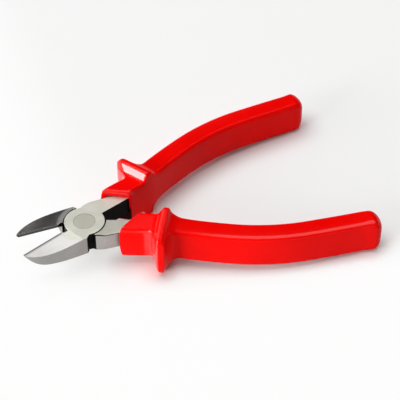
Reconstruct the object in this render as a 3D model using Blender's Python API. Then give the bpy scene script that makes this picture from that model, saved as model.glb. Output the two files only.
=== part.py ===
"""Diagonal side cutter with red moulded grips, in metres, +Z up.

Two steel halves lap over each other at a riveted joint. Each half is one jaw, one lap disc and one tang.
Each tang carries a moulded sleeve with a finger guard. Both halves are drawn with the jaws shut, the
cutting edges along X, and are then turned about the joint by half the opening angle each.
"""
import bpy
import bmesh
import math
from mathutils import Vector

for old in list(bpy.data.objects):
    bpy.data.objects.remove(old, do_unlink=True)

# Pose and fits
OPENING_ANGLE = math.radians(24.0)
LAP_GAP = 0.0003
RIM_GAP = 0.0003
RIVET_GAP = 0.00025
SLEEVE_GAP = 0.0003
EDGE_GAP = 0.0003

# Joint
HEAD_THICKNESS = 0.0090
DISC_RADIUS = 0.0090
RIVET_RADIUS = 0.0034
RIVET_HEAD_RADIUS = 0.0048
RIVET_HEAD_DEPTH = 0.0013

# Jaws
JAW_LENGTH = 0.0306
JAW_HALF_WIDTH = 0.0102
TIP_WIDTH = 0.0010
HEEL_BACK = 0.0042
EDGE_START = 0.0108
THROAT_DEPTH = 0.0013
FACE_SLOPE = math.radians(12.6)
FACE_TURN = math.radians(25.0)
RELIEF_ANGLE = math.radians(45.0)
UNDERSIDE_START = 0.0215
UNDERSIDE_SLOPE = math.radians(21.5)

# Tangs
TANG_SHOULDER = 0.0042
TANG_INNER_OFFSET = 0.0005
TANG_MOUTH_HALF_WIDTH = 0.0042
TANG_MOUTH_FLARE = 0.0009
TANG_HALF_WIDTH = 0.0032
TANG_END_HALF_WIDTH = 0.0026
TANG_END = 0.098
INNER_ROOT_PAST_MOUTH = 0.003
OUTER_ROOT_BEFORE_MOUTH = 0.004

# Grips
HANDLE_REACH = 0.1286
HANDLE_BOW = 0.0222
MOUTH_AT = 0.0208
MOUTH_SLANT = 0.56
GRIP_HALF_WIDTH = 0.0052
GRIP_END_HALF_WIDTH = 0.0048
GRIP_HALF_HEIGHT = 0.00925
MOUTH_HALF_HEIGHT = 0.0088
COLLAR_FLARE = 0.0010
MOUTH_CORNER = 0.0015
GRIP_CORNER = 0.0035
GRIP_END_ROUND = 0.0036
LIP_ROUND = 0.0006
MOUTH_OVERCUT = 0.008

# Finger guards
GUARD_AT = 0.0361
GUARD_SLANT = 0.09
GUARD_REACH = 0.0076
GUARD_INNER_REACH = 0.0012
GUARD_RISE = 0.0036
GUARD_CORNER = 0.0075
GUARD_CREST = 0.0012
GUARD_FOOT = 0.0070

HALF_THICKNESS = HEAD_THICKNESS / 2
ARC_STEPS = 40

# Handle centreline as shares of HANDLE_REACH along the tool and HANDLE_BOW across it
CENTRELINE_SHARES = (
    (0.00, 0.00),
    (0.15, 0.26),
    (0.28, 0.48),
    (0.42, 0.745),
    (0.55, 0.935),
    (0.68, 1.00),
    (0.82, 0.94),
    (1.00, 0.82),
)


def smooth(value):
    value = min(max(value, 0.0), 1.0)
    return value * value * (3 - 2 * value)


def mix(start, end, share):
    return start + (end - start) * share


def spline(points, steps):
    """Points along a smooth curve through the given ones."""
    first = 2 * points[0] - points[1]
    last = 2 * points[-1] - points[-2]
    padded = [first] + points + [last]
    curve = []
    for i in range(1, len(padded) - 2):
        p0, p1, p2, p3 = padded[i - 1:i + 3]
        for k in range(steps):
            t = k / steps
            curve.append(0.5 * (2 * p1 + (p2 - p0) * t + (2 * p0 - 5 * p1 + 4 * p2 - p3) * t * t
                                + (3 * p1 - 3 * p2 + p3 - p0) * t ** 3))
    curve.append(points[-1])
    return curve


LINE = spline([Vector((x * HANDLE_REACH, y * HANDLE_BOW)) for x, y in CENTRELINE_SHARES], 24)
LINE_LENGTHS = [0.0]
for before, after in zip(LINE, LINE[1:]):
    LINE_LENGTHS.append(LINE_LENGTHS[-1] + (after - before).length)
LINE_LENGTH = LINE_LENGTHS[-1]


def on_line(distance):
    """The centreline's point and direction at a distance from the joint, on the +Y side."""
    i = 1
    while i < len(LINE) - 1 and LINE_LENGTHS[i] < distance:
        i += 1
    share = (distance - LINE_LENGTHS[i - 1]) / (LINE_LENGTHS[i] - LINE_LENGTHS[i - 1])
    point = LINE[i - 1].lerp(LINE[i], share)
    ahead = LINE[min(i + 2, len(LINE) - 1)]
    behind = LINE[max(i - 3, 0)]
    return point, (ahead - behind).normalized()


def offset_point(distance, outward):
    point, heading = on_line(distance)
    return point + outward * Vector((-heading.y, heading.x))


def material(name, colour, roughness, metallic):
    made = bpy.data.materials.new(name)
    made.use_nodes = True
    shader = made.node_tree.nodes["Principled BSDF"]
    shader.inputs["Base Color"].default_value = (*colour, 1.0)
    shader.inputs["Roughness"].default_value = roughness
    shader.inputs["Metallic"].default_value = metallic
    return made


def add_object(name, mesh, parent, surface=None):
    made = bpy.data.objects.new(name, mesh)
    bpy.context.collection.objects.link(made)
    made.parent = parent
    if surface:
        mesh.materials.append(surface)
    return made


def mesh_from(name, points, faces):
    mesh = bpy.data.meshes.new(name)
    mesh.from_pydata([tuple(p) for p in points], [], faces)
    shape = bmesh.new()
    shape.from_mesh(mesh)
    bmesh.ops.recalc_face_normals(shape, faces=shape.faces)
    shape.to_mesh(mesh)
    shape.free()
    return mesh


def extrusion(name, outline, low, high):
    count = len(outline)
    points = [(p[0], p[1], low) for p in outline] + [(p[0], p[1], high) for p in outline]
    faces = [tuple(range(count)), tuple(range(count, 2 * count))]
    for i in range(count):
        j = (i + 1) % count
        faces.append((i, j, count + j, count + i))
    return mesh_from(name, points, faces)


def lathe(name, profile, steps):
    """Closed body of revolution about Z from (radius, height) pairs."""
    points = []
    for radius, height in profile:
        for k in range(steps):
            turn = 2 * math.pi * k / steps
            points.append((radius * math.cos(turn), radius * math.sin(turn), height))
    faces = [tuple(range(steps)), tuple(range((len(profile) - 1) * steps, len(profile) * steps))]
    for row in range(len(profile) - 1):
        for k in range(steps):
            a = row * steps + k
            b = row * steps + (k + 1) % steps
            faces.append((a, b, b + steps, a + steps))
    return mesh_from(name, points, faces)


def hull(name, points):
    shape = bmesh.new()
    for p in points:
        shape.verts.new(p)
    bmesh.ops.convex_hull(shape, input=shape.verts)
    mesh = bpy.data.meshes.new(name)
    shape.to_mesh(mesh)
    shape.free()
    return mesh


def cut(target, name, mesh):
    cutter = add_object(name, mesh, target.parent)
    cutter.hide_render = True
    cutter.display_type = "WIRE"
    step = target.modifiers.new(name, "BOOLEAN")
    step.operation = "DIFFERENCE"
    step.solver = "EXACT"
    step.object = cutter


def arc(radius, start, end, steps):
    turns = [mix(start, end, k / steps) for k in range(steps + 1)]
    return [Vector((radius * math.cos(t), radius * math.sin(t))) for t in turns]


def bezier(p0, p1, p2, p3, steps):
    curve = []
    for k in range(steps + 1):
        t = k / steps
        u = 1 - t
        curve.append(u ** 3 * p0 + 3 * u * u * t * p1 + 3 * u * t * t * p2 + t ** 3 * p3)
    return curve


def tang_half_width(distance):
    if distance < GUARD_AT:
        share = smooth((distance - MOUTH_AT) / (GUARD_AT - MOUTH_AT))
        return mix(TANG_MOUTH_HALF_WIDTH, TANG_HALF_WIDTH, share)
    share = (distance - GUARD_AT) / (TANG_END - GUARD_AT)
    return mix(TANG_HALF_WIDTH, TANG_END_HALF_WIDTH, share)


def tang_sides(grow, start_inner, start_outer, end):
    """Inner and outer edges of a tang, from the joint side to its end, on the +Y side."""
    steps = 16
    inner = []
    outer = []
    for k in range(steps + 1):
        near = mix(start_inner, end, k / steps)
        far = mix(start_outer, end, k / steps)
        flare = TANG_MOUTH_FLARE * (1 - smooth((far - MOUTH_AT) / (GUARD_AT - MOUTH_AT)))
        inner.append(offset_point(near, -tang_half_width(near) - grow))
        outer.append(offset_point(far, tang_half_width(far) + flare + grow))
    return inner, outer


def half_outline():
    """Plan of one half with the jaw on -Y and the tang on +Y."""
    heel_outer = Vector((-HEEL_BACK, -JAW_HALF_WIDTH))
    heel_turn = math.atan2(-math.sqrt(DISC_RADIUS ** 2 - (HEEL_BACK * 0.55) ** 2), -HEEL_BACK * 0.55)
    tip = Vector((-JAW_LENGTH, -EDGE_GAP / 2 - TIP_WIDTH))
    reach = JAW_LENGTH - HEEL_BACK
    outer_jaw = bezier(tip, tip + Vector((0.325 * reach, -0.81 * JAW_HALF_WIDTH)),
                       heel_outer + Vector((-0.38 * reach, 0.07 * JAW_HALF_WIDTH)), heel_outer, 24)
    under_disc = arc(DISC_RADIUS, heel_turn, -math.asin(TANG_INNER_OFFSET / DISC_RADIUS) * -1, ARC_STEPS)
    inner, outer = tang_sides(0.0, MOUTH_AT + INNER_ROOT_PAST_MOUTH, MOUTH_AT - OUTER_ROOT_BEFORE_MOUTH, TANG_END)
    shoulder = [Vector((2 * TANG_SHOULDER, 0.985 * JAW_HALF_WIDTH)),
                Vector((TANG_SHOULDER, 0.915 * JAW_HALF_WIDTH))]
    web_turn = math.radians(72)
    throat_turn = math.pi + math.asin(THROAT_DEPTH / DISC_RADIUS)
    over_disc = arc(DISC_RADIUS, web_turn, throat_turn, ARC_STEPS)
    throat = [Vector((-mix(DISC_RADIUS, EDGE_START, 0.6), -THROAT_DEPTH)), Vector((-EDGE_START, -EDGE_GAP / 2))]
    edge_tip = [Vector((-JAW_LENGTH, -EDGE_GAP / 2))]
    return edge_tip + outer_jaw + under_disc + inner + outer[::-1] + shoulder + over_disc + throat


def face_height(x, y):
    """Height of the jaw's sloping ground face, which leaves the flat joint face at the disc's rim."""
    downhill = -math.cos(FACE_TURN) * (x + 0.94 * DISC_RADIUS) - math.sin(FACE_TURN) * y
    return HALF_THICKNESS - math.tan(FACE_SLOPE) * downhill


def build_half(name, parent, surface, side, disc_on_top):
    """side +1 has its jaw on -Y; side -1 is mirrored. The lap disc is the upper or the lower layer."""
    far = 3 * JAW_LENGTH
    outline = [(p.x, side * p.y) for p in half_outline()]
    half = add_object(name, extrusion(name, outline, -HALF_THICKNESS, HALF_THICKNESS), parent, surface)

    pocket_radius = DISC_RADIUS + RIM_GAP
    layer = 1 if disc_on_top else -1
    ends = sorted((layer * LAP_GAP / 2, -layer * HEAD_THICKNESS))
    cut(half, name + "_lap_pocket", lathe("pocket", [(pocket_radius, ends[0]), (pocket_radius, ends[1])], 96))

    slope = []
    for x in (-2 * JAW_LENGTH, JAW_LENGTH):
        for y in (-far, far):
            slope.append((x, side * y, face_height(x, y)))
            slope.append((x, side * y, face_height(x, y) + far))
    cut(half, name + "_jaw_face", hull("face", slope))

    edge_y = -EDGE_GAP / 2
    drop = 1.4 * HEAD_THICKNESS
    run = drop * math.tan(RELIEF_ANGLE)
    relief = []
    for x, deep_x in ((-DISC_RADIUS - RIM_GAP, -DISC_RADIUS - RIM_GAP + 0.38 * run), (-2 * JAW_LENGTH,) * 2):
        for y in (edge_y, far):
            relief.append((x, side * y, face_height(x, edge_y)))
        for y in (edge_y - run, far):
            relief.append((deep_x, side * y, face_height(deep_x, edge_y) - drop))
    cut(half, name + "_jaw_relief", hull("relief", relief))

    under = []
    for x in (-UNDERSIDE_START, -2 * JAW_LENGTH):
        rise = (-x - UNDERSIDE_START) * math.tan(UNDERSIDE_SLOPE)
        for y in (-far, far):
            under.append((x, y, -HALF_THICKNESS + rise))
            under.append((x, y, -HALF_THICKNESS - far))
    cut(half, name + "_jaw_underside", hull("underside", under))

    bore = RIVET_RADIUS + RIVET_GAP
    seat = RIVET_HEAD_RADIUS + RIVET_GAP
    profile = [(bore, -layer * HEAD_THICKNESS), (bore, layer * (HALF_THICKNESS - RIVET_HEAD_DEPTH)),
               (seat, layer * HALF_THICKNESS), (seat, layer * HEAD_THICKNESS)]
    cut(half, name + "_rivet_bore", lathe("bore", profile, 64))
    return half


def guard_share(distance):
    """How far the finger guard stands out: 1 on its crest, 0 past its foot."""
    away = (abs(distance - GUARD_AT) - GUARD_CREST) / (GUARD_FOOT - GUARD_CREST)
    return (1 - min(max(away, 0.0), 1.0)) ** 2.2


def grip_section(distance, inset):
    """One ring of the grip as (outward, up) pairs, shrunk by inset at the rounded ends."""
    steps = 7
    along = (distance - MOUTH_AT) / (LINE_LENGTH - MOUTH_AT)
    guard = guard_share(distance)
    width = mix(GRIP_HALF_WIDTH, GRIP_END_HALF_WIDTH, along)
    opening = smooth((distance - MOUTH_AT) / (GUARD_AT - MOUTH_AT))
    height = mix(MOUTH_HALF_HEIGHT, GRIP_HALF_HEIGHT, opening) + GUARD_RISE * guard - inset
    flare = COLLAR_FLARE * (1 - smooth((distance - GUARD_AT) / GUARD_FOOT))
    outer = width + flare + GUARD_REACH * guard - inset
    inner = width + GUARD_INNER_REACH * guard - inset
    corner = mix(MOUTH_CORNER, GRIP_CORNER, opening)
    outer_corner = mix(corner, GUARD_CORNER, guard)
    ring = []
    for cx, cz, start, round_off in ((outer, height, 0, outer_corner), (-inner, height, 1, corner),
                                     (-inner, -height, 2, corner), (outer, -height, 3, outer_corner)):
        radius = min(round_off, abs(cx) * 0.98, height * 0.98)
        for k in range(steps + 1):
            turn = math.pi / 2 * (start + k / steps)
            ring.append((cx - math.copysign(radius, cx) + radius * math.cos(turn),
                         cz - math.copysign(radius, cz) + radius * math.sin(turn)))
    return ring


def grip_stations():
    """(distance, inset) of every ring from the mouth to the rounded end."""
    guard_from = GUARD_AT - GUARD_FOOT
    guard_to = GUARD_AT + GUARD_FOOT
    stations = [(MOUTH_AT, LIP_ROUND), (MOUTH_AT + 0.3 * LIP_ROUND, 0.3 * LIP_ROUND), (MOUTH_AT + LIP_ROUND, 0.0)]
    stations += [(mix(MOUTH_AT + LIP_ROUND, guard_from, k / 3), 0.0) for k in range(1, 4)]
    stations += [(mix(guard_from, guard_to, k / 18), 0.0) for k in range(1, 19)]
    end_from = LINE_LENGTH - GRIP_END_ROUND
    stations += [(mix(guard_to, end_from, k / 14), 0.0) for k in range(1, 15)]
    for k in range(1, 6):
        turn = math.pi / 2 * k / 5
        stations.append((end_from + GRIP_END_ROUND * math.sin(turn), GRIP_END_ROUND * (1 - math.cos(turn))))
    return stations


def build_grip(name, parent, surface, side):
    points = []
    for distance, inset in grip_stations():
        to_guard = smooth((distance - MOUTH_AT) / (GUARD_AT - MOUTH_AT))
        past_guard = smooth((distance - GUARD_AT) / (2 * GUARD_FOOT))
        slant = mix(mix(MOUTH_SLANT, GUARD_SLANT, to_guard), 0.0, past_guard)
        for outward, up in grip_section(distance, inset):
            flat = offset_point(distance - slant * outward, outward)
            points.append((flat.x, -side * flat.y, up))
    rings = len(grip_stations())
    count = len(points) // rings
    faces = [tuple(range(count)), tuple(range((rings - 1) * count, rings * count))]
    for row in range(rings - 1):
        for k in range(count):
            a = row * count + k
            b = row * count + (k + 1) % count
            faces.append((a, b, b + count, a + count))
    grip = add_object(name, mesh_from(name, points, faces), parent, surface)

    outer_from = MOUTH_AT - MOUTH_OVERCUT - OUTER_ROOT_BEFORE_MOUTH
    inner, outer = tang_sides(SLEEVE_GAP, MOUTH_AT - MOUTH_OVERCUT, outer_from, TANG_END + SLEEVE_GAP)
    cavity = [(p.x, -side * p.y) for p in inner + outer[::-1]]
    depth = HALF_THICKNESS + SLEEVE_GAP
    cut(grip, name + "_tang_cavity", extrusion("cavity", cavity, -depth, depth))
    return grip


steel = material("forged_steel", (0.58, 0.58, 0.56), 0.32, 1.0)
rivet_steel = material("rivet_steel", (0.62, 0.62, 0.60), 0.28, 1.0)
red_vinyl = material("red_vinyl", (0.85, 0.012, 0.008), 0.28, 0.0)

# The joint's underside face lies on z = 0
upper_pivot = bpy.data.objects.new("upper_pivot", None)
lower_pivot = bpy.data.objects.new("lower_pivot", None)
for pivot, turn in ((upper_pivot, OPENING_ANGLE / 2), (lower_pivot, -OPENING_ANGLE / 2)):
    bpy.context.collection.objects.link(pivot)
    pivot.location = (0, 0, HALF_THICKNESS)
    pivot.rotation_euler = (0, 0, turn)

build_half("upper_half", upper_pivot, steel, 1, True)
build_half("lower_half", lower_pivot, steel, -1, False)
build_grip("back_grip", upper_pivot, red_vinyl, -1)
build_grip("front_grip", lower_pivot, red_vinyl, 1)

rivet_profile = [(RIVET_HEAD_RADIUS, -HALF_THICKNESS), (RIVET_RADIUS, -HALF_THICKNESS + RIVET_HEAD_DEPTH),
                 (RIVET_RADIUS, HALF_THICKNESS - RIVET_HEAD_DEPTH), (RIVET_HEAD_RADIUS, HALF_THICKNESS)]
add_object("pivot_rivet", lathe("pivot_rivet", rivet_profile, 64), lower_pivot, rivet_steel)
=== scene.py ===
"""Side cutter with red moulded grips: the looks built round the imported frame, in metres, +Z up."""
import math

import bmesh
import bpy
from mathutils import Matrix, Vector
from mathutils.kdtree import KDTree


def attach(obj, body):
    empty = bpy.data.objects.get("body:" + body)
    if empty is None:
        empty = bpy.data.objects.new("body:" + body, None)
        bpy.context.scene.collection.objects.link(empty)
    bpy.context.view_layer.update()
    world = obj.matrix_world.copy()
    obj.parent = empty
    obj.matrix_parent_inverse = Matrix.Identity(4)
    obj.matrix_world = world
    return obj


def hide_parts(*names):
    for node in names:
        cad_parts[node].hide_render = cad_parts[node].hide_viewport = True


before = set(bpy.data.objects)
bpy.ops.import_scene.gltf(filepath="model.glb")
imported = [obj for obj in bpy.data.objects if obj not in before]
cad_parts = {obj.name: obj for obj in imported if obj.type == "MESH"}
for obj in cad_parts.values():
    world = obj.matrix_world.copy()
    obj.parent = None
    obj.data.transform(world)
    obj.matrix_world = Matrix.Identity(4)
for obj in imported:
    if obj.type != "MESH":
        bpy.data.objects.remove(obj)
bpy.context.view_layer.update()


# Lower half
# One drop-forged steel piece: the back jaw, the lower lap disc of the joint and the front tang. The outer
# faces are ground bright after hardening; the lap, the slot and the tang's inner wall keep the dark scale.

OPENING_ANGLE = math.radians(24.0)
HEAD_THICKNESS = 0.0090
HALF_THICKNESS = HEAD_THICKNESS / 2
DISC_RADIUS = 0.0090
LAP_GAP = 0.0003
POCKET_GAP = 0.00065
RIVET_RADIUS = 0.0034
RIVET_HEAD_RADIUS = 0.0048
RIVET_HEAD_DEPTH = 0.0013
RIVET_PLAY = 0.00008

JAW_LENGTH = 0.0306
JAW_HALF_WIDTH = 0.0102
TIP_ROUND = 0.0018
TIP_TURN = math.radians(33.0)
TIP_PULL = (0.19, -0.77)
HEEL_PULL = (-0.38, 0.07)
HEEL_BACK = 0.0042
HEEL_UNDERCUT = 0.55
EDGE_START = 0.0118
EDGE_GAP = 0.0003
EDGE_LAND = 0.0012
THROAT_DEPTH = 0.0013
THROAT_SHARE = 0.6
FACE_SLOPE = math.radians(12.3)
FACE_START_UPPER = 0.94 * DISC_RADIUS
FACE_START_LOWER = 0.74 * DISC_RADIUS
FACE_TURN = math.radians(14.0)
HONE_WIDTH = 0.0006
HONE_ANGLE = math.radians(14.0)
RELIEF_ANGLE = math.radians(45.0)
RELIEF_END_SLANT = 0.3
UNDERSIDE_START = 0.0210
UNDERSIDE_RISE = 0.0041
EDGE_ROUND = 0.00018

TANG_SHOULDER = 0.0042
SHOULDER_WIDTHS = (0.985, 0.915)
DISC_BARE_FROM = math.radians(72.0)
TANG_INNER_OFFSET = 0.0005
TANG_MOUTH_HALF_WIDTH = 0.0042
TANG_MOUTH_FLARE = 0.0003
CHAMFER_FROM = Vector((0.0068, 0.0097))
CHAMFER_TO = Vector((0.0186, 0.0074))
CHAMFER_ANGLE = math.radians(26.0)
TANG_HALF_WIDTH = 0.0032
TANG_END_HALF_WIDTH = 0.0026
TANG_END = 0.098
INNER_ROOT_PAST_MOUTH = 0.003
OUTER_ROOT_BEFORE_MOUTH = 0.004

HANDLE_REACH = 0.1295
HANDLE_BOW = 0.0222
MOUTH_AT = 0.0208
GUARD_AT = 0.0361

# Where the finishes begin and end, in metres, and the ground steel's lines and clouds per metre
FACE_BLEND = (0.0096, 0.0132)
# Painted light and shade on the jaw face: toward the tip, and behind the cutting edge
TIP_LIGHT_AND_SHADE = (0.017, 0.028)
EDGE_LIGHT_AND_SHADE = (0.0003, 0.0022)
# A painted shade line along the top of the tang's side: its height, where it starts, and its tone
RIM_SHADE_HEIGHT = (0.0080, 0.0084)
RIM_SHADE_START = (0.0, 0.001)
RIM_SHADE_TONE = (0.05, 0.045, 0.045)
# The jaw's edge wall is toned dark as painted shade
EDGE_WALL_SHADE_TONE = (0.07, 0.066, 0.062)
SCALE_TONES = ((0.003, 0.003, 0.003), (0.010, 0.009, 0.008))
GRIND_LINES = (90, 2400, 900)
GRIND_CLOUDS = (150, 150, 150)
LINES_SHARE = 0.45

# Finishes of a half, by material slot
GROUND, JAW_FACE, FORGED, DARK, HONED, EDGE_WALL = range(6)

# Handle centreline as shares of HANDLE_REACH along the tool and HANDLE_BOW across it
CENTRELINE_SHARES = (
    (0.00, 0.00),
    (0.15, 0.26),
    (0.28, 0.48),
    (0.42, 0.745),
    (0.55, 0.935),
    (0.68, 1.00),
    (0.82, 0.94),
    (1.00, 0.82),
)


def ease(value):
    value = min(max(value, 0.0), 1.0)
    return value * value * (3 - 2 * value)


def between(start, end, share):
    return start + (end - start) * share


def smooth_line(points, steps):
    """Points along a smooth curve through the given ones."""
    first = 2 * points[0] - points[1]
    last = 2 * points[-1] - points[-2]
    padded = [first] + points + [last]
    curve = []
    for i in range(1, len(padded) - 2):
        p0, p1, p2, p3 = padded[i - 1:i + 3]
        for k in range(steps):
            t = k / steps
            curve.append(0.5 * (2 * p1 + (p2 - p0) * t + (2 * p0 - 5 * p1 + 4 * p2 - p3) * t * t
                                + (3 * p1 - 3 * p2 + p3 - p0) * t ** 3))
    curve.append(points[-1])
    return curve


handle_line = smooth_line([Vector((x * HANDLE_REACH, y * HANDLE_BOW)) for x, y in CENTRELINE_SHARES], 24)
handle_lengths = [0.0]
for before, after in zip(handle_line, handle_line[1:]):
    handle_lengths.append(handle_lengths[-1] + (after - before).length)
handle_length = handle_lengths[-1]


def beside_handle(distance, outward):
    """Plan point at a distance along the handle from the joint and so far outward of its centreline."""
    i = 1
    while i < len(handle_line) - 1 and handle_lengths[i] < distance:
        i += 1
    share = (distance - handle_lengths[i - 1]) / (handle_lengths[i] - handle_lengths[i - 1])
    ahead = handle_line[min(i + 2, len(handle_line) - 1)]
    behind = handle_line[max(i - 3, 0)]
    heading = (ahead - behind).normalized()
    point = handle_line[i - 1].lerp(handle_line[i], share)
    return point + outward * Vector((-heading.y, heading.x))


def tang_half_width(distance):
    if distance < GUARD_AT:
        share = ease((distance - MOUTH_AT) / (GUARD_AT - MOUTH_AT))
        return between(TANG_MOUTH_HALF_WIDTH, TANG_HALF_WIDTH, share)
    share = (distance - GUARD_AT) / (TANG_END - GUARD_AT)
    return between(TANG_HALF_WIDTH, TANG_END_HALF_WIDTH, share)


def tang_flare(distance):
    """Extra width on the tang's outer side, which runs out under the finger guard."""
    return TANG_MOUTH_FLARE * (1 - ease((distance - MOUTH_AT) / (GUARD_AT - MOUTH_AT)))


def arc(radius, start, end, steps):
    turns = [between(start, end, k / steps) for k in range(steps + 1)]
    return [Vector((radius * math.cos(t), radius * math.sin(t))) for t in turns]


def half_outline():
    """Plan of one half, jaw on -Y and tang on +Y: points, each with the finish of the wall after it."""
    blunt_tip = [Vector((TIP_ROUND - JAW_LENGTH, -EDGE_GAP / 2)) + p
                 for p in arc(TIP_ROUND, math.pi, math.pi + TIP_TURN, 8)]
    tip = blunt_tip[-1]
    heel = Vector((-HEEL_BACK, -JAW_HALF_WIDTH))
    reach = JAW_LENGTH - HEEL_BACK
    pull_tip = tip + Vector((TIP_PULL[0] * reach, TIP_PULL[1] * JAW_HALF_WIDTH))
    pull_heel = heel + Vector((HEEL_PULL[0] * reach, HEEL_PULL[1] * JAW_HALF_WIDTH))
    jaw_back = []
    for k in range(65):
        t = k / 64
        u = 1 - t
        jaw_back.append(u ** 3 * tip + 3 * u * u * t * pull_tip + 3 * u * t * t * pull_heel + t ** 3 * heel)

    undercut = HEEL_BACK * HEEL_UNDERCUT
    heel_turn = math.atan2(-math.sqrt(DISC_RADIUS ** 2 - undercut ** 2), -undercut)
    under_disc = arc(DISC_RADIUS, heel_turn, math.asin(TANG_INNER_OFFSET / DISC_RADIUS), 60)
    tang_inner = []
    tang_outer = []
    for k in range(49):
        near = between(MOUTH_AT + INNER_ROOT_PAST_MOUTH, TANG_END, k / 48)
        far = between(MOUTH_AT - OUTER_ROOT_BEFORE_MOUTH, TANG_END, k / 48)
        tang_inner.append(beside_handle(near, -tang_half_width(near)))
        tang_outer.append(beside_handle(far, tang_half_width(far) + tang_flare(far)))
    shoulder = [Vector((2 * TANG_SHOULDER, SHOULDER_WIDTHS[0] * JAW_HALF_WIDTH)),
                Vector((TANG_SHOULDER, SHOULDER_WIDTHS[1] * JAW_HALF_WIDTH))]
    over_disc = arc(DISC_RADIUS, DISC_BARE_FROM, math.pi + math.asin(THROAT_DEPTH / DISC_RADIUS), 80)
    throat = [Vector((-between(DISC_RADIUS, EDGE_START, THROAT_SHARE), -THROAT_DEPTH))]
    edge_from = Vector((-EDGE_START, -EDGE_GAP / 2))

    outline = [(p, FORGED) for p in blunt_tip[:-1] + jaw_back[:-1]]
    outline += [(p, DARK) for p in [jaw_back[-1]] + under_disc + tang_inner]
    outline += [(p, FORGED) for p in tang_outer[::-1] + shoulder[:1]]
    outline += [(p, DARK) for p in shoulder[1:] + over_disc + throat]
    outline.append((edge_from, EDGE_WALL))
    return outline


def closed_mesh(name, points, faces, finishes):
    """Mesh of a closed body with outward faces, each in its own finish."""
    mesh = bpy.data.meshes.new(name)
    mesh.from_pydata([tuple(p) for p in points], [], faces)
    mesh.polygons.foreach_set("material_index", finishes)
    shape = bmesh.new()
    shape.from_mesh(mesh)
    bmesh.ops.recalc_face_normals(shape, faces=shape.faces)
    shape.to_mesh(mesh)
    shape.free()
    return mesh


def turned_body(name, profile, steps, finish):
    """Body of revolution about Z from (radius, height) pairs."""
    points = []
    for radius, height in profile:
        for k in range(steps):
            turn = 2 * math.pi * k / steps
            points.append((radius * math.cos(turn), radius * math.sin(turn), height))
    faces = [tuple(range(steps)), tuple(range((len(profile) - 1) * steps, len(profile) * steps))]
    for row in range(len(profile) - 1):
        for k in range(steps):
            a = row * steps + k
            b = row * steps + (k + 1) % steps
            faces.append((a, b, b + steps, a + steps))
    return closed_mesh(name, points, faces, [finish] * len(faces))


def prism(name, profile, reach, finish):
    """Straight bar along Y with this (x, z) section."""
    count = len(profile)
    points = [(x, y, z) for y in (-reach, reach) for x, z in profile]
    faces = [tuple(range(count)), tuple(range(count, 2 * count))]
    for i in range(count):
        j = (i + 1) % count
        faces.append((i, j, count + j, count + i))
    return closed_mesh(name, points, faces, [finish] * len(faces))


def wedge(name, points, finish):
    """Convex cutter through the given points."""
    shape = bmesh.new()
    for p in points:
        shape.verts.new(p)
    bmesh.ops.convex_hull(shape, input=shape.verts)
    for face in shape.faces:
        face.material_index = finish
    mesh = bpy.data.meshes.new(name)
    shape.to_mesh(mesh)
    shape.free()
    return mesh


def face_height(x, y, start):
    """Height of the jaw's sloping ground face, which leaves the flat joint face this far from the pivot."""
    downhill = -math.cos(FACE_TURN) * (x + start) - math.sin(FACE_TURN) * y
    return HALF_THICKNESS - math.tan(FACE_SLOPE) * downhill


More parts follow.
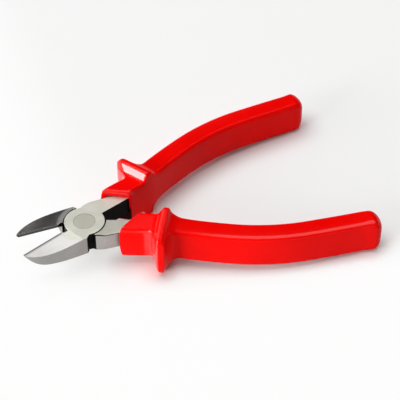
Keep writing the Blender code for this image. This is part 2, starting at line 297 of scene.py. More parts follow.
def half_cutters(side, layer):
    """Closed cutters for one half, side +1 with its jaw on -Y, layer +1 with its lap disc on top."""
    far = 3 * JAW_LENGTH
    start = FACE_START_UPPER if layer > 0 else FACE_START_LOWER
    pocket = sorted((layer * LAP_GAP / 2, -layer * HEAD_THICKNESS))
    lap = turned_body("lap", [(DISC_RADIUS + POCKET_GAP, z) for z in pocket], 160, DARK)

    slope = []
    for x in (-2 * JAW_LENGTH, JAW_LENGTH):
        for y in (-far, far):
            slope.append((x, side * y, face_height(x, y, start)))
            slope.append((x, side * y, face_height(x, y, start) + far))
    jaw_face = wedge("jaw_face", slope, JAW_FACE)

    edge_y = -EDGE_GAP / 2
    drop = 1.4 * HEAD_THICKNESS
    run = drop * math.tan(RELIEF_ANGLE)
    rim_x = -DISC_RADIUS - POCKET_GAP
    relief = []
    for x, deep_x in ((rim_x, rim_x - RELIEF_END_SLANT * run), (-2 * JAW_LENGTH,) * 2):
        land_foot = face_height(x, edge_y, start) - EDGE_LAND
        for y in (edge_y, edge_y + EDGE_GAP):
            relief.append((x, side * y, land_foot))
        relief.append((deep_x, side * (edge_y - run), land_foot - drop))
        relief.append((x, side * (edge_y + EDGE_GAP), land_foot - drop))
    jaw_relief = wedge("jaw_relief", relief, FORGED)

    hone_y = edge_y - HONE_WIDTH
    past = 2 * HONE_WIDTH
    hone = []
    for x in (-EDGE_START, -2 * JAW_LENGTH):
        top = face_height(x, hone_y, start)
        hone.append((x, side * hone_y, top))
        hone.append((x, side * (hone_y + past), top - past * math.tan(HONE_ANGLE)))
        hone.append((x, side * (hone_y + past), top + past))
    edge_hone = wedge("edge_hone", hone, HONED)

    under = [(-UNDERSIDE_START, -far), (-2 * JAW_LENGTH, -far)]
    under.append((-2 * JAW_LENGTH, UNDERSIDE_RISE - HALF_THICKNESS))
    for k in range(25):
        share = 1 - k / 24
        x = -between(UNDERSIDE_START, JAW_LENGTH, share)
        under.append((x, UNDERSIDE_RISE * share ** 3 - HALF_THICKNESS))
    underside = prism("underside", under, far, GROUND)

    along = (CHAMFER_TO - CHAMFER_FROM).normalized()
    outward = Vector((-along.y, along.x))
    run_out = 2 * HEEL_BACK * along
    fall = far * math.tan(CHAMFER_ANGLE)
    chamfers = []
    for face in (-1, 1):
        corners = []
        for p in (CHAMFER_FROM - run_out, CHAMFER_TO + run_out):
            beyond = p + far * outward
            corners.append((p.x, side * p.y, face * HALF_THICKNESS))
            corners.append((beyond.x, side * beyond.y, face * (HALF_THICKNESS - fall)))
            corners.append((beyond.x, side * beyond.y, face * (HALF_THICKNESS + far)))
        chamfers.append(wedge("tang_chamfer", corners, GROUND))

    bore = RIVET_RADIUS + RIVET_PLAY
    seat = RIVET_HEAD_RADIUS + RIVET_PLAY
    hole = [(bore, -layer * HEAD_THICKNESS), (bore, layer * (HALF_THICKNESS - RIVET_HEAD_DEPTH)),
            (seat, layer * HALF_THICKNESS), (seat, layer * HEAD_THICKNESS)]
    rivet_hole = turned_body("rivet_hole", hole, 128, DARK)
    return [lap, jaw_face, jaw_relief, edge_hone, underside, rivet_hole] + chamfers


class Finish:
    """One socket of a material being drawn up. Arithmetic on it adds Math nodes to the material."""

    def __init__(self, tree, socket=None):
        self.tree = tree
        self.socket = socket

    def node(self, kind, settings=None, sockets=None, output=0):
        """Adds a node, sets its settings, then the values or links of its sockets."""
        made = self.tree.nodes.new("ShaderNode" + kind)
        for name, value in (settings or {}).items():
            setattr(made, name, value)
        for name, value in (sockets or {}).items():
            if isinstance(value, Finish):
                self.tree.links.new(value.socket, made.inputs[name])
            else:
                made.inputs[name].default_value = value
        return Finish(self.tree, made.outputs[output])

    def maths(self, operation, first, second):
        return self.node("Math", {"operation": operation}, {0: first, 1: second})

    def __add__(self, other):
        return self.maths("ADD", self, other)

    def __radd__(self, other):
        return self.maths("ADD", other, self)

    def __sub__(self, other):
        return self.maths("SUBTRACT", self, other)

    def __rsub__(self, other):
        return self.maths("SUBTRACT", other, self)

    def __mul__(self, other):
        return self.maths("MULTIPLY", self, other)

    def __rmul__(self, other):
        return self.maths("MULTIPLY", other, self)

    def axis(self, index):
        """One coordinate of this place."""
        return self.node("SeparateXYZ", {}, {"Vector": self}, index)

    def axis_distance(self):
        """Distance of this place from the joint's axis."""
        flat = self.node("VectorMath", {"operation": "MULTIPLY"}, {0: self, 1: (1, 1, 0)})
        return self.node("VectorMath", {"operation": "LENGTH"}, {0: flat}, 1)

    def size(self):
        return self.maths("ABSOLUTE", self, 0.0)

    def sine(self):
        return self.maths("SINE", self, 0.0)

    def clamp(self, low, high):
        """0 at or below low, 1 at or above high, eased in between."""
        return self.node("MapRange", {"interpolation_type": "SMOOTHSTEP"},
                         {"Value": self, "From Min": low, "From Max": high})

    def noise(self, scale, detail=2.0):
        """Cloudy noise at this place, with so many clouds per metre along each axis."""
        stretched = self.node("Mapping", {}, {"Vector": self, "Scale": scale})
        return self.node("TexNoise", {}, {"Vector": stretched, "Scale": 1.0, "Detail": detail})

    def mix(self, first, second):
        """Mixes two colour sockets by this value."""
        return self.node("Mix", {"data_type": "RGBA"}, {"Factor": self, 6: first, 7: second}, 2)

    def colours(self, low, high):
        """Mixes two plain colours by this value."""
        return self.mix((*low, 1), (*high, 1))

    def bump(self, depth, strength=1.0):
        """Normal of a surface whose relief is this value times depth in metres."""
        return self.node("Bump", {}, {"Height": self, "Distance": depth, "Strength": strength})

    def surface(self, **sockets):
        """Links or sets the sockets of the material's own shader."""
        shader = self.tree.nodes["Principled BSDF"]
        for name, value in sockets.items():
            socket = shader.inputs[name.replace("_", " ")]
            if isinstance(value, Finish):
                self.tree.links.new(value.socket, socket)
            else:
                socket.default_value = value


def new_finish(name):
    """A new material and the place on the piece, in metres, from which its finish is worked out."""
    made = bpy.data.materials.new(name)
    made.use_nodes = True
    start = Finish(made.node_tree)
    return made, start.node("TexCoord", {}, {}, 3)


def shades(tone):
    """A colour a little darker and a little lighter than the given one."""
    return [0.91 * c for c in tone], [1.09 * c for c in tone]


def belt_grind(place):
    """Fine parallel lines, a faint cloudiness, and the tone that both give together."""
    lines = place.noise(GRIND_LINES, 3.0)
    clouds = place.noise(GRIND_CLOUDS)
    tone = lines.clamp(0.3, 0.7) * LINES_SHARE + clouds.clamp(0.3, 0.7) * (1 - LINES_SHARE)
    return lines, clouds, tone


def ground_steel(name, tone, rough, metallic=1.0, rim_shade_tone=None):
    """Belt-ground steel in a satin gloss, on request with a painted shade line along the top of the tang's
    side.
    """
    made, place = new_finish(name)
    lines, clouds, grind = belt_grind(place)
    shade = grind.colours(*shades(tone))
    if rim_shade_tone:
        # Painted shade: a dark line along the top edge of the tang's side
        tang_rim_shade = place.axis(2).clamp(*RIM_SHADE_HEIGHT) * place.axis(0).clamp(*RIM_SHADE_START)
        shade = tang_rim_shade.mix(shade, grind.colours(*shades(rim_shade_tone)))
    place.surface(Base_Color=shade,
                  Metallic=metallic,
                  Roughness=rough + lines * 0.10 + clouds * 0.08,
                  Normal=lines.bump(0.000004))
    return made


def jaw_face_steel(name, side, tones):
    """The jaw's finer ground face: it blends into the joint, and its edge and tip carry painted light and
    shade.
    """
    made, place = new_finish(name)
    lines, clouds, grind = belt_grind(place)
    radius = place.axis_distance()
    fine = radius.clamp(*FACE_BLEND)
    turn = side * OPENING_ANGLE / 2
    behind_edge = place.axis(0) * (side * math.sin(turn)) - place.axis(1) * (side * math.cos(turn))
    parts = ("root", "edge", "face", "tip")
    root, edge, middle, tip = (grind.colours(*shades(tones[part])) for part in parts)
    # Painted light and shade: the face's tone changes behind its cutting edge and toward its tip
    face = behind_edge.clamp(*EDGE_LIGHT_AND_SHADE).mix(edge, radius.clamp(*TIP_LIGHT_AND_SHADE).mix(middle, tip))
    place.surface(Base_Color=fine.mix(root, face),
                  Metallic=0.55 + fine * 0.45,
                  Roughness=0.48 - fine * 0.33 + lines * 0.08 + clouds * 0.06,
                  Normal=lines.bump(0.000003))
    return made


def dark_steel(name, tones, rough):
    """Hardening scale left in the recesses: near black, matt, slightly blotchy and pitted."""
    made, place = new_finish(name)
    blotches = place.noise((420, 420, 420), 3.0)
    pits = place.noise((2600, 2600, 2600), 2.0)
    place.surface(Base_Color=blotches.clamp(0.35, 0.75).colours(*tones),
                  Metallic=0.6,
                  Roughness=rough + blotches * 0.16,
                  Normal=pits.bump(0.00001),
                  Specular_IOR_Level=0.06)
    return made


def half_finishes(name, side, tones):
    """The finishes of one half in the order of their slots."""
    return [
        ground_steel(name + "_ground_steel", tones["ground"], 0.48, 0.55),
        jaw_face_steel(name + "_jaw_face_steel", side, tones),
        ground_steel(name + "_forged_side_steel", tones["side"], 0.38, rim_shade_tone=RIM_SHADE_TONE),
        dark_steel(name + "_hardening_scale", SCALE_TONES, 0.50),
        ground_steel(name + "_honed_edge_steel", tones["hone"], 0.26),
        # The edge wall's dark tone is painted shade
        ground_steel(name + "_edge_wall_shade_steel", EDGE_WALL_SHADE_TONE, 0.34),
    ]


def make_half(name, side, layer, finishes):
    """One half, cut from its extruded plan, with its edges rounded, turned open about the joint."""
    outline = half_outline()
    count = len(outline)
    points = [(p.x, side * p.y, z) for z in (-HALF_THICKNESS, HALF_THICKNESS) for p, finish in outline]
    faces = [tuple(range(count)), tuple(range(count, 2 * count))]
    slots = [GROUND, GROUND]
    for i, (p, finish) in enumerate(outline):
        j = (i + 1) % count
        faces.append((i, j, count + j, count + i))
        slots.append(finish)
    blank = bpy.data.objects.new("blank", closed_mesh("blank", points, faces, slots))
    scratch = [blank]
    for cutter_mesh in half_cutters(side, layer):
        cutter = bpy.data.objects.new("cutter", cutter_mesh)
        step = blank.modifiers.new("cut", "BOOLEAN")
        step.operation = "DIFFERENCE"
        step.solver = "EXACT"
        step.object = cutter
        scratch.append(cutter)
    for part in scratch:
        bpy.context.scene.collection.objects.link(part)
        for finish in finishes:
            part.data.materials.append(finish)
        part.data.shade_smooth()
    weld = blank.modifiers.new("weld", "WELD")
    weld.merge_threshold = 0.00003
    rounding = blank.modifiers.new("rounding", "BEVEL")
    rounding.width = EDGE_ROUND
    rounding.segments = 3
    rounding.limit_method = "ANGLE"
    rounding.angle_limit = math.radians(7)
    rounding.harden_normals = True
    bpy.context.view_layer.update()
    cut_half = blank.evaluated_get(bpy.context.evaluated_depsgraph_get())
    mesh = bpy.data.meshes.new_from_object(cut_half)
    for part in scratch:
        bpy.data.objects.remove(part)
    opened = Matrix.Rotation(side * OPENING_ANGLE / 2, 4, "Z")
    mesh.transform(Matrix.Translation((0, 0, HALF_THICKNESS)) @ opened)
    half = bpy.data.objects.new(name, mesh)
    bpy.context.scene.collection.objects.link(half)
    return half


lower_tones = {
    # The lower half's darker ground tone is painted shade
    "ground": (0.50, 0.50, 0.44),
    "root": (0.24, 0.232, 0.218),
    # The back jaw's edge and tip tones are painted light on its face
    "edge": (0.80, 0.77, 0.74),
    "face": (0.50, 0.485, 0.47),
    "tip": (0.95, 0.92, 0.89),
    "side": (0.44, 0.42, 0.40),
    "hone": (0.06, 0.057, 0.054),
}
lower_finishes = half_finishes("lower", -1, lower_tones)
lower_steel = make_half("lower_half_steel", -1, -1, lower_finishes)
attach(lower_steel, "lower")
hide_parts("lower_half")


# Pivot rivet
# A steel pin through both discs, its two ends spread into countersinks and ground flush, so only a fine
# ring and faint turning marks show on the joint's face.

RIVET_EDGE = 0.00015
RING_PITCH = 26000
RING_WANDER = 5
RIVET_TONES = ((0.51, 0.50, 0.42), (0.60, 0.59, 0.51))


def rivet_steel():
    """Ground rivet end: fine rings about the pin's axis over a satin steel."""
    made, place = new_finish("rivet_end_steel")
    wander = place.noise((300, 300, 300))
    rings = (place.axis_distance() * RING_PITCH + wander * RING_WANDER).sine()
    clouds = place.noise((170, 170, 170))
    tone = rings * 0.18 + clouds * 0.8
    place.surface(Base_Color=tone.clamp(0.1, 0.8).colours(*RIVET_TONES),
                  Metallic=0.55,
                  Roughness=0.42 + clouds * 0.10,
                  Normal=rings.bump(0.000003))
    return made


slope_radius = between(RIVET_HEAD_RADIUS, RIVET_RADIUS, RIVET_EDGE / RIVET_HEAD_DEPTH)
half_rivet = [
    (RIVET_HEAD_RADIUS - RIVET_EDGE, HALF_THICKNESS),
    (RIVET_HEAD_RADIUS - 0.3 * RIVET_EDGE, HALF_THICKNESS - 0.15 * RIVET_EDGE),
    (slope_radius, HALF_THICKNESS - RIVET_EDGE),
    (RIVET_RADIUS, HALF_THICKNESS - RIVET_HEAD_DEPTH),
]
rivet_profile = half_rivet + [(radius, -height) for radius, height in half_rivet[::-1]]
rivet_mesh = turned_body("rivet", rivet_profile, 128, 0)
rivet_mesh.materials.append(rivet_steel())
rivet_mesh.transform(Matrix.Translation((0, 0, HALF_THICKNESS)))
rivet = bpy.data.objects.new("flush_rivet", rivet_mesh)
bpy.context.scene.collection.objects.link(rivet)
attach(rivet, "lower")
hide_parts("pivot_rivet")


# Upper half
# The mating forging: the front jaw, the upper lap disc and the back tang. It is the lower half mirrored,
# with its disc in the upper layer, and its ground faces are lighter than the lower half's, whose darker
# tone is painted shade.

upper_tones = {
    "ground": (0.66, 0.66, 0.58),
    "root": (0.66, 0.66, 0.58),
    # The front jaw's edge and tip tones are painted shade on its face
    "edge": (0.12, 0.115, 0.11),
    "face": (0.42, 0.409, 0.399),
    "tip": (0.355, 0.346, 0.338),
    "side": (0.36, 0.345, 0.33),
    "hone": (0.20, 0.19, 0.18),
}
upper_finishes = half_finishes("upper", 1, upper_tones)
upper_steel = make_half("upper_half_steel", 1, 1, upper_finishes)
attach(upper_steel, "upper")
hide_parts("upper_half")


# Front grip
# A sleeve of semi-gloss red vinyl, moulded with a slanted mouth, a collar and a finger guard, and pressed
# hot on the lower half's tang, which it grips tightly. The lower lip of the mouth is darkened with painted
# shade.

MOUTH_SLANT = 0.61
GRIP_HALF_WIDTH = 0.0054
GRIP_END_HALF_WIDTH = 0.0051
GRIP_HALF_HEIGHT = 0.00815
MOUTH_HALF_HEIGHT = 0.0088
COLLAR_LENGTH = 0.0112
COLLAR_FLARE = 0.00075
COLLAR_WAIST = 0.0014
MOUTH_FALL = 0.07
COLLAR_FALL = 0.11
MOUTH_CORNER = 0.0015
GRIP_CORNER = 0.0019
GRIP_END_CORNER = 0.0030
GRIP_END_ROUND = 0.0046
GRIP_END_FLARE = 0.0012
END_FLARE_RISE = 0.2
GRIP_FLARE_LENGTH = 0.009
LIP_ROUND = 0.0007
SIDE_CROWN = 0.00012
MOUTH_SIDE_CROWN = 0.0008
SLEEVE_FIT = 0.00012
SLEEVE_DEPTH = 0.006
BORE_CORNER = 0.0016
CORNER_LIMIT = 0.98
MOUTH_BELL = 0.0005

GUARD_REACH = 0.00785
GUARD_INNER_REACH = 0.0007
GUARD_INNER_FOOT = 0.0120
GUARD_RISE = 0.00405
GUARD_CORNER = 0.0036
GUARD_FOOT_CORNER = 0.0068
GUARD_INNER_CORNER = 0.0016
RISE_AHEAD = (0.0013, 0.0055)
RISE_BEHIND = (0.0013, 0.0073)
RISE_ROUND = (0.00055, 0.00055)
RISE_STRAIGHT = 0.5
RISE_FALL = 0.857
RISE_HOLLOW = 1.0
REACH_AHEAD = (0.0019, 0.0068)
REACH_BEHIND = (0.0024, 0.0080)
REACH_ROUND = (0.0014, 0.0004)
REACH_STRAIGHT = 0.0
REACH_FALL = 0.0
REACH_HOLLOW = 1.3


def guard_share(distance, ahead, behind, rounding, straight, fall, hollow):
    """How far the finger guard stands out: 1 on its crest, a straight flank with a hollow foot ahead of it,
    a hollow behind it. The pairs ahead and behind hold where the crest and the foot end."""
    before = distance < GUARD_AT
    crest, foot = ahead if before else behind
    past = (abs(distance - GUARD_AT) - crest) / (foot - crest)
    turn = rounding[0 if before else 1] / (foot - crest)

    def flank(p):
        left = 1 - min(p, 1.0)
        if not before:
            return (1 - math.sqrt(1 - left * left)) ** hollow
        if p < straight:
            return 1 - fall * p / straight
        return (1 - fall) * (left / (1 - straight)) ** 2

    if past < turn:
        return 1 - (1 - flank(turn)) * max((past + turn) / (2 * turn), 0.0) ** 2
    return flank(past)


def rounded_ring(outer, inner, height, corners, crowns):
    """Rounded rectangle as (outward, up) pairs, its top, inner, bottom and outer flats slightly crowned."""
    corner_steps = 10
    flat_shares = (0.04, 0.15, 0.30, 0.50, 0.70, 0.85, 0.96)
    ring = []
    signs = ((1, 1), (-1, 1), (-1, -1), (1, -1))
    for quarter, (sx, sz) in enumerate(signs):
        reach = outer if sx > 0 else inner
        radius = min(corners[quarter], reach * CORNER_LIMIT, height * CORNER_LIMIT)
        for k in range(corner_steps + 1):
            turn = math.pi / 2 * (quarter + k / corner_steps)
            ring.append(Vector((sx * (reach - radius) + radius * math.cos(turn),
                                sz * (height - radius) + radius * math.sin(turn))))
        following = (quarter + 1) % 4
        nx, nz = signs[following]
        next_reach = outer if nx > 0 else inner
        next_radius = min(corners[following], next_reach * CORNER_LIMIT, height * CORNER_LIMIT)
        turn = math.pi / 2 * (quarter + 1)
        start = ring[-1]
        end = Vector((nx * (next_reach - next_radius) + next_radius * math.cos(turn),
                      nz * (height - next_radius) + next_radius * math.sin(turn)))
        outward = Vector((math.cos(turn), math.sin(turn)))
        for share in flat_shares:
            ring.append(start.lerp(end, share) + outward * crowns[quarter] * 4 * share * (1 - share))
    return ring


def grip_ring(distance, inset):
    """One ring of the grip's skin, shrunk by inset at the rounded ends."""
    along = (distance - MOUTH_AT) / (handle_length - MOUTH_AT)
    rise = guard_share(distance, RISE_AHEAD, RISE_BEHIND, RISE_ROUND,
                       RISE_STRAIGHT, RISE_FALL, RISE_HOLLOW)
    guard = guard_share(distance, REACH_AHEAD, REACH_BEHIND, REACH_ROUND,
                        REACH_STRAIGHT, REACH_FALL, REACH_HOLLOW)
    collar = ease((distance - MOUTH_AT) / COLLAR_LENGTH)
    to_end = ease((distance - handle_length) / GRIP_FLARE_LENGTH + 1)
    end_flare = GRIP_END_FLARE * to_end
    width = between(GRIP_HALF_WIDTH, GRIP_END_HALF_WIDTH, along)
    opening = ease((distance - MOUTH_AT) / (GUARD_AT - MOUTH_AT))
    past_guard = ease((distance - GUARD_AT) / RISE_BEHIND[1])
    height = between(MOUTH_HALF_HEIGHT, GRIP_HALF_HEIGHT, past_guard)
    height = height + GUARD_RISE * rise + END_FLARE_RISE * end_flare - inset
    flare = COLLAR_FLARE * (1 - ease((distance - GUARD_AT) / REACH_BEHIND[1])) + end_flare
    inner_bulge = GUARD_INNER_REACH * ease(1 - abs(distance - GUARD_AT) / GUARD_INNER_FOOT)
    waist = COLLAR_WAIST * collar * (1 - guard) if distance < GUARD_AT else 0.0
    outer = width + flare - waist + GUARD_REACH * guard - inset
    inner = width + inner_bulge - inset
    corner = between(between(MOUTH_CORNER, GRIP_CORNER, opening), GRIP_END_CORNER, to_end)
    outer_corner = between(corner, GUARD_CORNER, guard)
    outer_crown = between(MOUTH_SIDE_CROWN, SIDE_CROWN, opening)
    flat_crown = SIDE_CROWN * opening * (1 - rise)
    crowns = (flat_crown, flat_crown, flat_crown, outer_crown)
    inner_corner = between(corner, GUARD_INNER_CORNER, rise)
    foot_corner = between(corner, GUARD_FOOT_CORNER, guard)
    corners = (outer_corner, inner_corner, inner_corner, foot_corner)
    ring = rounded_ring(outer, inner, height, corners, crowns)
    fall = between(MOUTH_FALL, COLLAR_FALL, collar) if distance < GUARD_AT else COLLAR_FALL * rise
    for p in ring:
        if p.y > 0:
            p.y -= fall * (p.x + inner) * p.y / height
    return ring


def sleeve_ring(distance, clear):
    """One ring of the bore, which clears the tang by so much."""
    outer = tang_half_width(distance) + tang_flare(distance) + clear
    inner = tang_half_width(distance) + clear
    corners = (BORE_CORNER, 2 * clear, 2 * clear, BORE_CORNER)
    return rounded_ring(outer, inner, HALF_THICKNESS + clear, corners, (0.0,) * 4)


def make_grip(name, side):
    """Loft from the bottom of the bore, out over the lip, along the skin to the rounded end."""
    rings = []
    for k in range(4):
        distance = MOUTH_AT + between(SLEEVE_DEPTH, 2 * MOUTH_BELL, k / 3)
        rings.append((distance, sleeve_ring(distance, SLEEVE_FIT)))
    rings.append((MOUTH_AT, sleeve_ring(MOUTH_AT, SLEEVE_FIT + MOUTH_BELL)))
    for k in range(7):
        turn = math.pi / 2 * k / 6
        distance = MOUTH_AT + LIP_ROUND * (1 - math.cos(turn))
        rings.append((distance, grip_ring(distance, LIP_ROUND * (1 - math.sin(turn)))))
    guard_from = GUARD_AT - REACH_AHEAD[1]
    guard_to = GUARD_AT + max(RISE_BEHIND[1], REACH_BEHIND[1])
    places = [between(MOUTH_AT + LIP_ROUND, guard_from, k / 10) for k in range(1, 11)]
    places += [between(guard_from, guard_to, k / 120) for k in range(1, 121)]
    end_from = handle_length - GRIP_END_ROUND
    places += [between(guard_to, end_from, k / 60) for k in range(1, 61)]
    rings += [(distance, grip_ring(distance, 0.0)) for distance in places]
    for k in range(1, 13):
        turn = math.pi / 2 * k / 12
        distance = end_from + GRIP_END_ROUND * math.sin(turn)
        rings.append((distance, grip_ring(distance, GRIP_END_ROUND * (1 - math.cos(turn)))))

    points = []
    for distance, ring in rings:
        to_guard = ease((distance - MOUTH_AT) / (guard_from - MOUTH_AT))
        slant = between(MOUTH_SLANT, 0.0, to_guard)
        for p in ring:
            flat = beside_handle(distance - slant * p.x, p.x)
            points.append((flat.x, -side * flat.y, p.y))
    count = len(rings[0][1])
    faces = [tuple(range(count)), tuple(range((len(rings) - 1) * count, len(rings) * count))]
    for row in range(len(rings) - 1):
        for k in range(count):
            a = row * count + k
            b = row * count + (k + 1) % count
            faces.append((a, b, b + count, a + count))
    mesh = closed_mesh(name, points, faces, [0] * len(faces))
    mesh.shade_smooth()
    mesh.set_sharp_from_angle(angle=math.radians(75))
    opened = Matrix.Rotation(-side * OPENING_ANGLE / 2, 4, "Z")
    mesh.transform(Matrix.Translation((0, 0, HALF_THICKNESS)) @ opened)
    mesh.materials.append(red_vinyl)
    grip = bpy.data.objects.new(name, mesh)
    bpy.context.scene.collection.objects.link(grip)
    return grip


# Where the skin's gloss begins and ends, in metres: along the handle from the guard's crest or the mouth's
# lip, upward from the tool's underside, and outward from the handle's middle
GLOSS_AHEAD = (-0.0090, -0.0075)
GLOSS_CREST = (-0.0010, -0.0004)
GLOSS_NEAR_GUARD = (-0.0120, -0.0095)
GLOSS_BEHIND = (0.010, 0.030)
GLOSS_LIP = (0.0009, 0.0018)
GLOSS_HEIGHT = (0.0112, 0.0120)
GLOSS_COLLAR = (0.0108, 0.0114)
GLOSS_TOP = (0.0121, 0.0126)
GLOSS_FACET = (0.0129, 0.0135)
GLOSS_OUTWARD = (-0.0054, -0.0046)
GLOSS_BESIDE = (0.0, 0.0020)
GLOSS_OUTER = (0.0016, 0.0030)
COLLAR_GLOSS = 0.3
HANDLE_GLOSS = 0.5
HANDLE_LEAN = 0.66
HANDLE_BEND = 2.4
# How far the painted shade on the mouth's lower lip reaches, along and up, and its tone
MOUTH_SHADE_LIP = (0.0001, 0.0005)
MOUTH_SHADE_HEIGHT = (0.0020, 0.0050)
MOUTH_SHADE_TONE = (0.02, 0.0008, 0.0006)
RED_TONES = ((0.86, 0.0014, 0.0008), (0.92, 0.0024, 0.0016))


def vinyl():
    """Red moulded vinyl: a faint drift of colour, a fine grain, glossy upper edges and guard fronts, and
    painted shade on the mouth's lower lip.
    """
    made, place = new_finish("red_vinyl")
    drift = place.noise((45, 45, 45))
    grain = place.noise((1500, 1500, 1500), 2.0)
    handling = place.noise((160, 160, 260), 3.0)
    opened = Matrix.Rotation(OPENING_ANGLE / 2, 2)
    crest_middle = opened @ beside_handle(GUARD_AT, 0.0)
    crest_outer = opened @ beside_handle(GUARD_AT, GUARD_REACH)
    crest_line = (crest_outer - crest_middle).normalized()
    outward = place.axis(1).size()
    along = place.axis(0) * crest_line.y - outward * crest_line.x
    past_crest = along - (crest_middle.x * crest_line.y - crest_middle.y * crest_line.x)
    across = place.axis(0) * crest_line.x + outward * crest_line.y - crest_middle.dot(crest_line)
    height = place.axis(2)
    tilted = height + across * COLLAR_FALL
    above_collar = across.clamp(*GLOSS_OUTWARD) * tilted.clamp(*GLOSS_FACET)
    beside_collar = across.clamp(*GLOSS_BESIDE) * (1 - tilted.clamp(*GLOSS_TOP))
    outside = 1 - (1 - above_collar) * (1 - beside_collar)
    before_crest = 1 - past_crest.clamp(*GLOSS_CREST)
    guard_front = past_crest.clamp(*GLOSS_AHEAD) * before_crest * outside
    length = place.axis(0)
    centreline = length * HANDLE_LEAN - length * length * HANDLE_BEND
    outer_half = (outward - centreline).clamp(*GLOSS_OUTER)
    near_guard = past_crest.clamp(*GLOSS_NEAR_GUARD) * (1 - COLLAR_GLOSS) + COLLAR_GLOSS
    collar_edge = tilted.clamp(*GLOSS_COLLAR) * (1 - tilted.clamp(*GLOSS_TOP))
    upper_edge = collar_edge * before_crest * outer_half * near_guard
    outer_edge = height.clamp(*GLOSS_HEIGHT) * past_crest.clamp(*GLOSS_BEHIND) * outer_half
    past_mouth = past_crest + across * MOUTH_SLANT + (GUARD_AT - MOUTH_AT)
    lip = (1 - past_mouth.clamp(*GLOSS_LIP)) * height.clamp(*GLOSS_COLLAR)
    glossy = 1 - (1 - guard_front) * (1 - upper_edge) * (1 - outer_edge * HANDLE_GLOSS) * (1 - lip)
    red = drift.clamp(0.3, 0.7).colours(*RED_TONES)
    # Painted shade: the mouth's lower lip is darkened where shadow falls
    mouth_shade = (1 - past_mouth.clamp(*MOUTH_SHADE_LIP)) * (1 - height.clamp(*MOUTH_SHADE_HEIGHT))
    place.surface(Base_Color=mouth_shade.mix(red, (*MOUTH_SHADE_TONE, 1)),
                  Coat_Weight=glossy,
                  Coat_Roughness=0.03,
                  Roughness=0.09 + handling.clamp(0.35, 0.75) * 0.06 + grain * 0.03,
                  Normal=grain.bump(0.0000012),
                  Specular_IOR_Level=0.05)
    return made


red_vinyl = vinyl()
front_grip = make_grip("front_grip_vinyl", 1)
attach(front_grip, "lower")
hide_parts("front_grip")


# Back grip
# The same moulding, mirrored, on the upper half's tang.

back_grip = make_grip("back_grip_vinyl", -1)
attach(back_grip, "upper")
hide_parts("back_grip")


# Table top
# A pale matt sheet that the tool lies on: it rests on its guards and its handle ends, so the sheet leans by
# a few degrees against the tool's own plane. Away from the tool the sheet is lifted to plain white, less so
# between the handles, where the tool's own red light and shadow fall.

REST_AT_GUARD = Vector((0.030, 0, -0.0085))
REST_AT_END = Vector((0.120, 0, -0.0041))

# Share of plain white in the open and between the handles, and the distances over which it sets in
OPEN_LIFT = 0.90
INSIDE_LIFT = 0.45
CLEAR_FROM = 0.0005
CLEAR_TO = 0.014
CLEAR_TO_IN_FRONT = 0.0045
JAWS_FROM = -0.02
JAWS_FADE = 0.05
FRONT_FROM = 0.01
FRONT_LEAN = 0.2
FRONT_FADE = 0.03
WHITE_FROM = 0.6
WHITE_TO = 1.6

# The sheet's rings: fine steps near the tool, then (radius, rise) out to the room
SHEET_SIDES = 160
SHEET_STEP = 0.003
SHEET_STEPS = 70
SHEET_EDGE = ((0.5, 0.0), (1.0, 0.0), (2.0, 0.0), (3.0, 0.0), (3.6, 0.12), (3.9, 0.45), (4.0, 1.0))


def table_finish():
    """Pale paper near the tool, which takes its shadow, and plain white far away."""
    made, place = new_finish("pale_paper")
    fibres = place.noise((900, 900, 900), 3.0)
    place.surface(Base_Color=fibres.colours((0.82, 0.82, 0.815), (0.85, 0.85, 0.845)),
                  Roughness=0.85,
                  Specular_IOR_Level=0.1)
    seen = place.node("LightPath", {}, {}, 0)
    glossy = place.node("LightPath", {}, {}, 3)
    passed = place.node("LightPath", {}, {}, 6)
    distance = place.node("VectorMath", {"operation": "LENGTH"}, {0: place}, 1)
    white = place.node("Emission", {}, {"Strength": 1.0})
    paper = Finish(made.node_tree, made.node_tree.nodes["Principled BSDF"].outputs[0])
    clear = place.node("Attribute", {"attribute_name": "clear"}, {}, 2)
    far_or_clear = 1 - (1 - distance.clamp(WHITE_FROM, WHITE_TO)) * (1 - clear)
    share = (seen + glossy + passed).clamp(0.0, 1.0) * far_or_clear
    mixed = place.node("MixShader", {}, {0: share, 1: paper, 2: white})
    made.node_tree.links.new(mixed.socket, made.node_tree.nodes["Material Output"].inputs["Surface"])
    return made


lean = math.atan2(REST_AT_END.z - REST_AT_GUARD.z, REST_AT_END.x - REST_AT_GUARD.x)
sheet_rings = [(SHEET_STEP * k, 0.0) for k in range(1, SHEET_STEPS + 1)]
sheet_rings += SHEET_EDGE
sheet_points = []
for radius, rise in sheet_rings:
    for k in range(SHEET_SIDES):
        turn = 2 * math.pi * k / SHEET_SIDES
        sheet_points.append(Vector((radius * math.cos(turn), radius * math.sin(turn), rise)))
sheet_faces = [tuple(range(SHEET_SIDES))]
for row in range(len(sheet_rings) - 1):
    for k in range(SHEET_SIDES):
        a = row * SHEET_SIDES + k
        b = row * SHEET_SIDES + (k + 1) % SHEET_SIDES
        sheet_faces.append((a, a + SHEET_SIDES, b + SHEET_SIDES, b))
sheet_place = Matrix.Translation(REST_AT_GUARD) @ Matrix.Rotation(-lean, 4, "Y")
tool = (lower_steel, upper_steel, front_grip, back_grip)
tool_points = [v.co for piece in tool for v in piece.data.vertices]
nearest = KDTree(len(tool_points))
for i, point in enumerate(tool_points):
    nearest.insert(point, i)
nearest.balance()
clearances = []
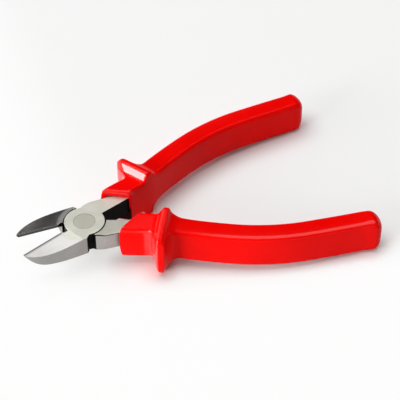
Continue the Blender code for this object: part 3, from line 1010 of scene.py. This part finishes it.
for point in sheet_points:
    place = sheet_place @ point
    gap = nearest.find(place)[2]
    # The white share is painted light: it pales the tool's shadow on the sheet, most under the jaws and in
    # front, less between the handles
    under_jaws = ease(1 - (place.x - JAWS_FROM) / JAWS_FADE)
    in_front = ease((-place.y - FRONT_LEAN * place.x - FRONT_FROM) / FRONT_FADE)
    lift = between(INSIDE_LIFT, OPEN_LIFT, max(under_jaws, in_front))
    clear_to = between(CLEAR_TO, CLEAR_TO_IN_FRONT, in_front)
    clearances.append(lift * ease((gap - CLEAR_FROM) / (clear_to - CLEAR_FROM)))
sheet_mesh = bpy.data.meshes.new("table_top")
sheet_mesh.from_pydata(sheet_points, [], sheet_faces)
clear = sheet_mesh.attributes.new("clear", "FLOAT", "POINT")
clear.data.foreach_set("value", clearances)
sheet_mesh.shade_smooth()
sheet_mesh.materials.append(table_finish())
table_top = bpy.data.objects.new("table_top", sheet_mesh)
bpy.context.scene.collection.objects.link(table_top)
table_top.matrix_world = sheet_place


# Studio light
# A softbox to the left, low enough to glance off the guards, a small one beside it for the sparks on the
# collars, a broad panel overhead to the left and behind, and a dim room.

PANEL_TURN = math.radians(-15)
PANEL_SHIFT = Vector((-0.85, 0.90, 0.0))
ROOM_TONE = (1.0, 0.97, 0.94, 1.0)
ROOM_STRENGTH = 0.055


def softbox(name, direction, distance, width, height, watts):
    """A rectangular lamp that faces the joint and isn't seen itself."""
    light = bpy.data.lights.new(name, "AREA")
    light.shape = "RECTANGLE"
    light.size = width
    light.size_y = height
    light.energy = watts
    lamp = bpy.data.objects.new(name, light)
    bpy.context.scene.collection.objects.link(lamp)
    toward = Vector(direction).normalized()
    lamp.location = toward * distance
    lamp.rotation_mode = "QUATERNION"
    lamp.rotation_quaternion = toward.to_track_quat("Z", "Y")
    lamp.visible_camera = False
    return lamp


softbox("side_softbox", direction=(-0.983, -0.086, 0.165), distance=2.6,
        width=1.9, height=0.85, watts=64.0)
softbox("spark_softbox", direction=(-0.86, -0.36, 0.36), distance=2.6,
        width=0.6, height=0.4, watts=13.0)
panel = softbox("overhead_panel", direction=(0, 0, 1), distance=3.0,
                width=5.0, height=3.5, watts=115.0)
panel.rotation_mode = "XYZ"
panel.rotation_euler = (0, 0, PANEL_TURN)
panel.location += PANEL_SHIFT

room = bpy.data.worlds.new("room")
bpy.context.scene.world = room
room.use_nodes = True
room.node_tree.nodes["Background"].inputs["Color"].default_value = ROOM_TONE
room.node_tree.nodes["Background"].inputs["Strength"].default_value = ROOM_STRENGTH
bpy.context.scene.view_settings.view_transform = "Standard"


# Camera
# The photograph's viewpoint: a long lens, from the front left and well above the tool.

CAMERA_AZIMUTH = math.radians(-19.704)
CAMERA_ELEVATION = math.radians(42.294)
CAMERA_ROLL = math.radians(-0.346)
CAMERA_PLACE = (-0.09933, -0.42924, 0.41933)
CAMERA_LENS = 122.1

back = Vector((math.sin(CAMERA_AZIMUTH) * math.cos(CAMERA_ELEVATION),
               -math.cos(CAMERA_AZIMUTH) * math.cos(CAMERA_ELEVATION),
               math.sin(CAMERA_ELEVATION)))
level_right = Vector((math.cos(CAMERA_AZIMUTH), math.sin(CAMERA_AZIMUTH), 0))
level_up = back.cross(level_right)
right = math.cos(CAMERA_ROLL) * level_right + math.sin(CAMERA_ROLL) * level_up
up = math.cos(CAMERA_ROLL) * level_up - math.sin(CAMERA_ROLL) * level_right
lens = bpy.data.cameras.new("photo_view")
lens.lens = CAMERA_LENS
lens.sensor_width = 36.0
lens.clip_start = 0.01
lens.clip_end = 20.0
camera = bpy.data.objects.new("photo_view", lens)
bpy.context.scene.collection.objects.link(camera)
stance = Matrix((right, up, back)).transposed().to_4x4()
camera.matrix_world = Matrix.Translation(CAMERA_PLACE) @ stance
bpy.context.scene.camera = camera
